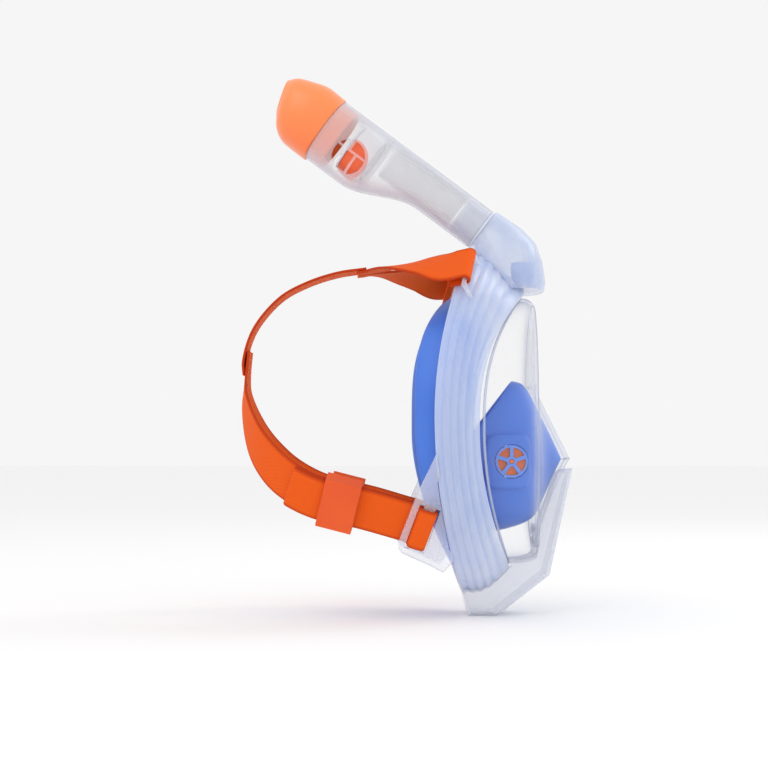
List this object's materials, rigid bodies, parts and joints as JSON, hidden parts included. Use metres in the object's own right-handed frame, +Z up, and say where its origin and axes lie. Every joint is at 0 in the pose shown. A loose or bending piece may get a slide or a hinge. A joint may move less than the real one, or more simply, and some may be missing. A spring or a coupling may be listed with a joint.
{
  "type": "snorkel mask",
  "caption": "Full-face snorkel mask: curved clear visor in an oval frame, silicone face skirt and nose pocket, dry-top breathing tube on a crown socket, elastic head harness.",
  "frame": {"origin": "the middle of the face opening, in the mask's mirror plane, at mount face_seal", "axes": "+X forward through the visor, +Y to the wearer's left, +Z up"},
  "size_m": [0.2456, 0.1868, 0.4011],
  "materials": {
    "clear_plastic": "clear, polished",
    "frosted_plastic": "translucent, faintly blue",
    "blue_silicone": "satin silicone",
    "clear_silicone": "translucent satin silicone",
    "blue_plastic": "satin",
    "orange_silicone": "satin silicone",
    "orange_plastic": "gloss",
    "orange_webbing": "woven elastic"
  },
  "bodies": {
    "mask": {"frame": "frosted_plastic", "lens": "clear_plastic", "face_skirt": "blue_silicone", "nose_pocket": "blue_silicone", "chin_guard": "clear_plastic", "drain_seat": "blue_plastic", "crown_housing": "frosted_plastic", "air_duct": "blue_plastic", "inhale_seat_left": "blue_plastic", "inhale_seat_right": "blue_plastic", "tube_gasket": "clear_silicone", "strap_centre_band": "orange_webbing", "upper_strap_left": "orange_webbing", "upper_strap_right": "orange_webbing", "lower_strap_left": "orange_webbing", "lower_strap_right": "orange_webbing", "lower_buckle_left": "clear_plastic", "lower_buckle_right": "clear_plastic", "upper_bar_left": "clear_plastic", "upper_bar_right": "clear_plastic"},
    "snorkel": {"snorkel_tube": "clear_plastic", "tube_channel": "clear_plastic", "snorkel_cap": "orange_plastic", "float_cage": "clear_plastic"},
    "float": {"float_block": "orange_plastic", "float_seal": "clear_silicone"},
    "inhale_flap_left": {"inhale_flap_left": "orange_silicone"},
    "inhale_flap_right": {"inhale_flap_right": "orange_silicone"},
    "drain_flap": {"drain_flap": "blue_silicone"},
    "keeper_left": {"strap_keeper_left": "orange_silicone"},
    "keeper_right": {"strap_keeper_right": "orange_silicone"}
  },
  "joints": [
    {"name": "snorkel_slide", "type": "slide", "parent": "mask", "child": "snorkel", "axis": [-0.8, 0, 0.6], "range_m": [0, 0.03]},
    {"name": "float_slide", "type": "slide", "parent": "snorkel", "child": "float", "axis": [-0.8, 0, 0.6], "range_m": [0, 0.006]},
    {"name": "inhale_flap_left_lift", "type": "slide", "parent": "mask", "child": "inhale_flap_left", "axis": [0, -1, 0], "range_m": [0, 0.0015], "stiffness_N_per_m": 2},
    {"name": "inhale_flap_right_lift", "type": "slide", "parent": "mask", "child": "inhale_flap_right", "axis": [0, 1, 0], "range_m": [0, 0.0015], "stiffness_N_per_m": 2},
    {"name": "drain_flap_lift", "type": "slide", "parent": "mask", "child": "drain_flap", "axis": [1, 0, 0], "range_m": [0, 0.0012], "stiffness_N_per_m": 2},
    {"name": "keeper_left_slide", "type": "slide", "parent": "mask", "child": "keeper_left", "axis": [0.9685, 0.0149, -0.2484], "range_m": [-0.004, 0.004]},
    {"name": "keeper_right_slide", "type": "slide", "parent": "mask", "child": "keeper_right", "axis": [0.9685, -0.0149, -0.2484], "range_m": [-0.004, 0.004]}
  ]
}
